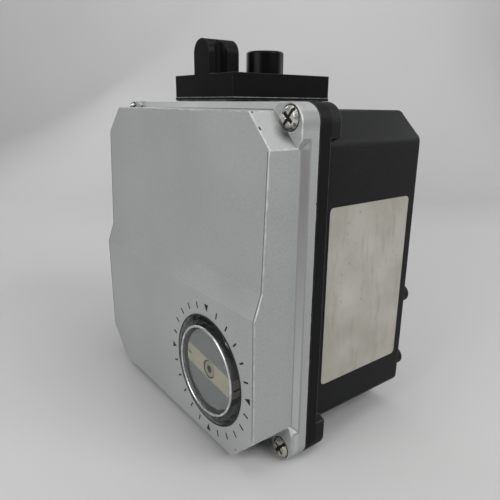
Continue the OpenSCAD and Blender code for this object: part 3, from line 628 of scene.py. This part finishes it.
bead_y = WINDOW_Y + BEAD["thick"] + BEAD_SUNK
piece("window_bead", ring(bead_y, **BEAD), bead_finish(), "case")
piece("window_lip", ring(FRONT_Y - LIP_PROUD, **LIP), FINISH["seal_rubber"], "case")

# Dark liners painted as shade and dirt in the recesses of the cover screws and of the drum's screw

SLOT_TURN = math.radians(40)
SLOTS = [
    {"length": 0.0078, "width": 0.00128, "top": 0.0006, "floor": 0.00148},
    {"length": 0.00158, "width": 0.0055, "top": 0.0007, "floor": 0.00198},
]
HEX = {"radius": 0.00205, "sunk": 0.0004, "deep": 0.0005}
GROOVE = {"inner": 0.00392, "outer": 0.00458, "sunk": 0.0005, "deep": 0.0006}
# dark brown colour for the painted shade and dirt in the screw recesses, also used for the paint chips
DARK_SHADE_AND_GRIME = printed("shade_and_grime", (0.006, 0.005, 0.004), (0.03, 0.02, 0.012), rough=0.75, shine=0.2)
screw_low, screw_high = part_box("cover_screws")


def screw_slots(bm):
    along = Vector((math.sin(SLOT_TURN), 0, math.cos(SLOT_TURN)))
    across = Vector((math.cos(SLOT_TURN), 0, -math.sin(SLOT_TURN)))
    centres = [Vector((x, screw_low.y, z))
               for x in (screw_low.x + HEAD_R, screw_high.x - HEAD_R)
               for z in (screw_low.z + HEAD_R, screw_high.z - HEAD_R)]
    for centre in centres:
        for slot in SLOTS:
            u, v = along * (slot["length"] / 2), across * (slot["width"] / 2)
            middle = centre + REARWARD * slot["top"]
            corners = [middle + u + v, middle + u - v, middle - u - v, middle - u + v]
            prism(bm, corners, REARWARD * (slot["floor"] - slot["top"]))


def drum_recess(bm):
    """Dark liners, painted shade and dirt, in the hexagon socket of the centre screw and the groove round
    its head.
    """
    hexagon = [on_face(u, v, -HEX["sunk"]) for u, v in arc((0, 0), HEX["radius"], 0, math.radians(300), 5)]
    prism(bm, hexagon, REARWARD * HEX["deep"])
    angles = turns(48)
    for a, b in zip(angles, angles[1:] + angles[:1]):
        corners = ((GROOVE["inner"], a), (GROOVE["outer"], a), (GROOVE["outer"], b), (GROOVE["inner"], b))
        wedge = [on_face(r * math.cos(t), r * math.sin(t), -GROOVE["sunk"]) for r, t in corners]
        prism(bm, wedge, REARWARD * GROOVE["deep"])


piece("screw_slots", screw_slots, DARK_SHADE_AND_GRIME, "case")
piece("drum_recess", drum_recess, DARK_SHADE_AND_GRIME, "shaft")

# Fine dark strips painted as the shadow in the joints beside the front panel's edge and at the foot of the
# top bevel

PANEL_EDGE = [(-0.029, 0.0205), (-0.029, 0.0764), (-0.0252, 0.0874), (-0.02295, 0.1424)]
BEVEL_FOOT = Vector((0, SEAM_Y - 0.0077, 0.1565))
BEVEL_RISE = Vector((0, 0.6632, 0.7485))
FOOT_STRIP = [(-0.045, 0.0002), (0.058, 0.0002), (0.058, 0.0008), (-0.045, 0.0005)]
JOINT = {"in": 0.0009, "wide": 0.0003, "proud": 0.00003, "sunk": 0.00005}


def joint_strip(bm, sheet, run):
    """Thin strip on a face that runs along the case's depth and height."""
    out = Vector((0, -run.z, run.y))
    prism(bm, [p - out * JOINT["sunk"] for p in sheet], out * (JOINT["proud"] + JOINT["sunk"]))


def panel_lines(bm):
    for side in (-1, 1):
        outer = side * (PANEL_X - JOINT["in"])
        inner = side * (PANEL_X - JOINT["in"] - JOINT["wide"])
        for (y0, z0), (y1, z1) in zip(PANEL_EDGE, PANEL_EDGE[1:]):
            run = Vector((0, y1 - y0, z1 - z0)).normalized()
            corners = ((outer, y0, z0), (inner, y0, z0), (inner, y1, z1), (outer, y1, z1))
            joint_strip(bm, [Vector((x, SEAM_Y + y, z)) for x, y, z in corners], run)
    joint_strip(bm, [BEVEL_FOOT + RIGHTWARD * x + BEVEL_RISE * h for x, h in FOOT_STRIP], BEVEL_RISE)


JOINT_SHADOW = printed("joint_shadow", (0.04, 0.04, 0.04), (0.12, 0.12, 0.12), rough=0.6, shine=0.2)
piece("panel_lines", panel_lines, JOINT_SHADOW, "case")

# Small chips in the paint

CHIP = [(-0.5, 0.0), (-0.22, 0.5), (0.15, 0.36), (0.5, 0.12), (0.3, -0.42), (-0.25, -0.5)]
CHIP_SUNK, CHIP_THICK = 0.00006, 0.0001
CUT_FOOT = Vector((0.075, SEAM_Y - 0.02295, 0.1429))
CUT_TOP = Vector((0.0614, SEAM_Y - 0.0224, 0.1565))
CUT_OUT = Vector((0.7071, 0, 0.7071))
NICK_X, NICK_Y = 0.07714, SEAM_Y - 0.0003
FOOT_CHIP = Vector((0.0618, FRONT_Y, 0.0087))


def paint_chips(bm):
    """Irregular flakes lost from the corner cut, beside the seam and from the lower edge."""
    rise = (CUT_TOP - CUT_FOOT).normalized()
    flakes = [
        (CUT_FOOT.lerp(CUT_TOP, 0.54) + REARWARD * 0.0008, rise, REARWARD, CUT_OUT, 0.0021, 0.0009),
        (CUT_FOOT.lerp(CUT_TOP, 0.96) + REARWARD * 0.0012, rise, REARWARD, CUT_OUT, 0.0012, 0.0006),
        (Vector((NICK_X, NICK_Y, 0.073)), UPWARD, REARWARD, RIGHTWARD, 0.0016, 0.0005),
        (Vector((NICK_X, NICK_Y, 0.121)), UPWARD, REARWARD, RIGHTWARD, 0.0011, 0.0005),
        (FOOT_CHIP, RIGHTWARD, UPWARD, -REARWARD, 0.001, 0.0008),
    ]
    for centre, along, across, out, length, width in flakes:
        base = centre - out * CHIP_SUNK
        prism(bm, [base + along * (u * length) + across * (v * width) for u, v in CHIP], out * CHIP_THICK)


piece("paint_chips", paint_chips, DARK_SHADE_AND_GRIME, "case")

# Threads in the ports and rear holes

THREAD_SUNK = 0.0002
THREAD_FLANK, THREAD_START = 0.42, 0.6


def thread(mouths, out, radius, depth, pitch, length):
    """Helical ridge standing inwards from the wall of each hole; out points out of the mouth."""
    def build(bm):
        steps = 28
        side = out.orthogonal().normalized()
        up = out.cross(side)
        section = ((radius + THREAD_SUNK, pitch * THREAD_FLANK), (radius - depth, 0.0),
                   (radius + THREAD_SUNK, -pitch * THREAD_FLANK))
        for mouth in mouths:
            rows = []
            for i in range(int(length / pitch) * steps + 1):
                a = 2 * math.pi * i / steps
                ray = side * math.cos(a) + up * math.sin(a)
                base = Vector(mouth) - out * (pitch * (THREAD_START + i / steps))
                rows.append([bm.verts.new(base + ray * r + out * h) for r, h in section])
            skin(bm, rows, smooth=False)
    return build


PORTS = [(-SIDE_X, m["pos_m"][1], m["pos_m"][2]) for n, m in mounts.items() if n.startswith("port_")]
PORT_R = mounts["port_supply"]["dims"]["r_mm"] * MM
port_thread = thread(PORTS, -RIGHTWARD, PORT_R, depth=0.0006, pitch=0.00134, length=0.0098)
piece("port_threads", port_thread, FINISH["light_alloy"], "case")

rear = mounts["rear_bolts"]
REAR_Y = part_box("housing")[1].y
HALF_WIDE, HALF_HIGH = (rear["dims"][key] * MM / 2 for key in ("spacing_x_mm", "spacing_y_mm"))
REAR = [(rear["pos_m"][0] + sx * HALF_WIDE, REAR_Y, rear["pos_m"][2] + sz * HALF_HIGH)
        for sx in (-1, 1) for sz in (-1, 1)]
REAR_R = rear["dims"]["hole_r_mm"] * MM
rear_thread = thread(REAR, REARWARD, REAR_R, depth=0.0003, pitch=0.001, length=0.007)
piece("rear_threads", rear_thread, FINISH["light_alloy"], "case")


# Springs and diaphragm between the pieces that hold them; the springs and the web are baked in place

def coil(node, wire, windings, part):
    """Coil spring along Z in a solid's box, or the stretch of it between two shares of its length."""
    low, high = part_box(node)
    axis = (low + high) / 2
    radius = (high.x - low.x) / 2 - wire
    first, last = part

    def build(bm):
        count = round(windings * 24 * (last - first))
        rows = []
        for i in range(count + 1):
            share = first + (last - first) * i / count
            a = 2 * math.pi * windings * share
            out = Vector((math.cos(a), math.sin(a), 0))
            level = low.z + wire + (high.z - low.z - 2 * wire) * share
            centre = Vector((axis.x, axis.y, level)) + out * radius
            section = [out * math.cos(b) + UPWARD * math.sin(b) for b in turns(10)]
            rows.append([bm.verts.new(centre + ray * wire) for ray in section])
        skin(bm, rows)
    return build


def revolved(centre, profile):
    """Closed ring from a profile of (radius, level) about a vertical axis."""
    def build(bm):
        rows = []
        for a in turns(72):
            x, y = math.cos(a), math.sin(a)
            rows.append([bm.verts.new((centre.x + r * x, centre.y + r * y, z)) for r, z in profile])
        skin(bm, rows, closed=True, smooth=False)
    return build


def spring(name, node, wire, windings, part, bodies, levels):
    """Spring between two levels, baked in place; it does not follow its two bodies."""
    low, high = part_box(node)
    x, y = (low.x + high.x) / 2, (low.y + high.y) / 2
    start, end = ((x, y, z) for z in levels)
    obj = piece(name, coil(node, wire, windings, part), FINISH["steel"], (*bodies, start, end))
    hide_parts(node)


FEEDBACK = {"node": "feedback_spring", "wire": 0.0006, "windings": 10}
FEEDBACK_SEATS = 0.0035, 0.005
SPOOL = {"node": "spool_spring", "wire": 0.0004, "windings": 5}
SPOOL_SEAT = 0.0009
foot, head = (corner.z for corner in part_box("feedback_spring"))
middle = (foot + head) / 2
spring("feedback_spring_low", **FEEDBACK, part=(0.0, 0.5), bodies=("lever", "case"),
       levels=(foot + FEEDBACK_SEATS[0], middle))
spring("feedback_spring_high", **FEEDBACK, part=(0.5, 1.0), bodies=("case", "beam"),
       levels=(middle, head - FEEDBACK_SEATS[1]))
foot, head = (corner.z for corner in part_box("spool_spring"))
spring("spool_spring_coil", **SPOOL, part=(0.0, 1.0), bodies=("case", "spool"),
       levels=(head - SPOOL_SEAT, foot + SPOOL_SEAT))

DISC = {"radius": 0.00695, "thick": 0.0006}
WEB_GAP = 0.0001
RIM_R = 0.0092
low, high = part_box("diaphragm")
hub = (low + high) / 2
web_foot, web_top = low.z + WEB_GAP, high.z - WEB_GAP
outer_r = high.x - hub.x
WEB = [(0.00915, web_foot), (0.0074, web_top), (0.007, web_top), (0.00875, web_foot)]
RIM = [(RIM_R, low.z), (outer_r, low.z), (outer_r, high.z), (RIM_R, high.z)]


def diaphragm_disc(bm):
    floor = high.z - DISC["thick"]
    edge = arc(hub, DISC["radius"], 0, math.radians(355), 71)
    prism(bm, [(x, y, floor) for x, y in edge], UPWARD * DISC["thick"])


across_web = ("case", "stem", (hub.x, hub.y, web_foot), (hub.x, hub.y, web_top))
for name, build, body in (
    ("diaphragm_rim", revolved(hub, RIM), "case"),
    ("diaphragm_web", revolved(hub, WEB), across_web),
    ("diaphragm_disc", diaphragm_disc, "stem"),
):
    obj = piece(name, build, FINISH["seal_rubber"], body)
    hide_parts("diaphragm")


# Studio

AZIMUTH, ELEVATION, ROLL = (math.radians(angle) for angle in (52.81, 16.65, 0.42))
CAMERA_AT = Vector((0.21441, -0.16714, 0.1592))
LENS, SENSOR = 35.33, 36
SWEEP = {"near": -3.0, "distance": 0.55, "radius": 0.35, "top": 3.0, "half_width": 4, "steps": 24}
LAMP_TARGET = Vector((0, 0, 0.08))
LAMPS = [
    ("top_light", (0.05, 0.1, 0.85), 0.6, 1.9),
    ("right_light", (0.75, 0.25, 0.65), 0.5, 6.0),
    ("front_light", (0.05, -0.8, 0.4), 0.5, 4.6),
    ("back_light", (0.15, 0.85, 0.35), 0.5, 1.7),
    ("left_light", (-0.75, 0.0, 0.45), 0.5, 1.6),
]
right = Vector((math.cos(AZIMUTH), math.sin(AZIMUTH), 0))
away = Vector((-math.sin(AZIMUTH), math.cos(AZIMUTH), 0))


def photo_camera():
    """Camera at the photograph's place, angle and focal length."""
    back = UPWARD * math.sin(ELEVATION) - away * math.cos(ELEVATION)
    up = back.cross(right)
    cam_right = right * math.cos(ROLL) + up * math.sin(ROLL)
    cam_up = up * math.cos(ROLL) - right * math.sin(ROLL)
    lens = bpy.data.cameras.new("camera")
    lens.sensor_width = SENSOR
    lens.lens = LENS
    lens.clip_start = 0.01
    camera = bpy.data.objects.new("camera", lens)
    camera.matrix_world = Matrix((
        (cam_right.x, cam_up.x, back.x, CAMERA_AT.x),
        (cam_right.y, cam_up.y, back.y, CAMERA_AT.y),
        (cam_right.z, cam_up.z, back.z, CAMERA_AT.z),
        (0, 0, 0, 1)))
    bpy.context.scene.collection.objects.link(camera)
    bpy.context.scene.camera = camera


def sweep():
    """Pale floor that curves up into a backdrop behind the object."""
    radius, distance, steps, half = (SWEEP[key] for key in ("radius", "distance", "steps", "half_width"))
    bend = [math.pi / 2 * i / steps for i in range(steps + 1)]
    profile = [(SWEEP["near"], 0.0)]
    profile += [(distance + radius * math.sin(a), radius * (1 - math.cos(a))) for a in bend]
    profile.append((distance + radius, SWEEP["top"]))
    bm = bmesh.new()
    rows = [[bm.verts.new(away * d + right * w + UPWARD * h) for w in (-half, half)] for d, h in profile]
    for a, b in zip(rows, rows[1:]):
        bm.faces.new((a[0], a[1], b[1], b[0])).smooth = True
    mesh = bpy.data.meshes.new("sweep")
    bm.to_mesh(mesh)
    bm.free()
    s = Shader("sweep_paper").set(Roughness=0.8)
    mottle = s.spread(s.noise(3, 3), 0.3, 0.7)
    floor = s.mix(mottle, (0.38, 0.38, 0.377), (0.4, 0.4, 0.397))
    wall = s.mix(mottle, (0.58, 0.58, 0.575), (0.61, 0.61, 0.605))
    s.colour(s.mix(s.spread(s.axis(2), 0.0, 0.4), floor, wall))
    mesh.materials.append(s.material)
    obj = bpy.data.objects.new("sweep", mesh)
    bpy.context.scene.collection.objects.link(obj)


def softbox(name, at, size, power):
    light = bpy.data.lights.new(name, "AREA")
    light.shape = "SQUARE"
    light.size = size
    light.energy = power
    obj = bpy.data.objects.new(name, light)
    obj.location = at
    obj.rotation_euler = (LAMP_TARGET - Vector(at)).to_track_quat("-Z", "Y").to_euler()
    bpy.context.scene.collection.objects.link(obj)


def surroundings():
    """Soft room light, dim at the horizon and brighter overhead."""
    world = bpy.data.worlds.new("studio")
    world.use_nodes = True
    tree = world.node_tree
    sky = tree.nodes["Background"]
    sky.inputs["Color"].default_value = (0.95, 0.96, 0.97, 1)
    direction = tree.nodes.new("ShaderNodeSeparateXYZ")
    tree.links.new(tree.nodes.new("ShaderNodeTexCoord").outputs["Generated"], direction.inputs[0])
    rise = tree.nodes.new("ShaderNodeMapRange")
    for key, value in {"From Min": 0.0, "From Max": 0.8, "To Min": 0.22, "To Max": 0.62}.items():
        rise.inputs[key].default_value = value
    tree.links.new(direction.outputs["Z"], rise.inputs["Value"])
    tree.links.new(rise.outputs["Result"], sky.inputs["Strength"])
    bpy.context.scene.world = world


photo_camera()
sweep()
for lamp in LAMPS:
    softbox(*lamp)
surroundings()
bpy.context.scene.view_settings.view_transform = "Standard"
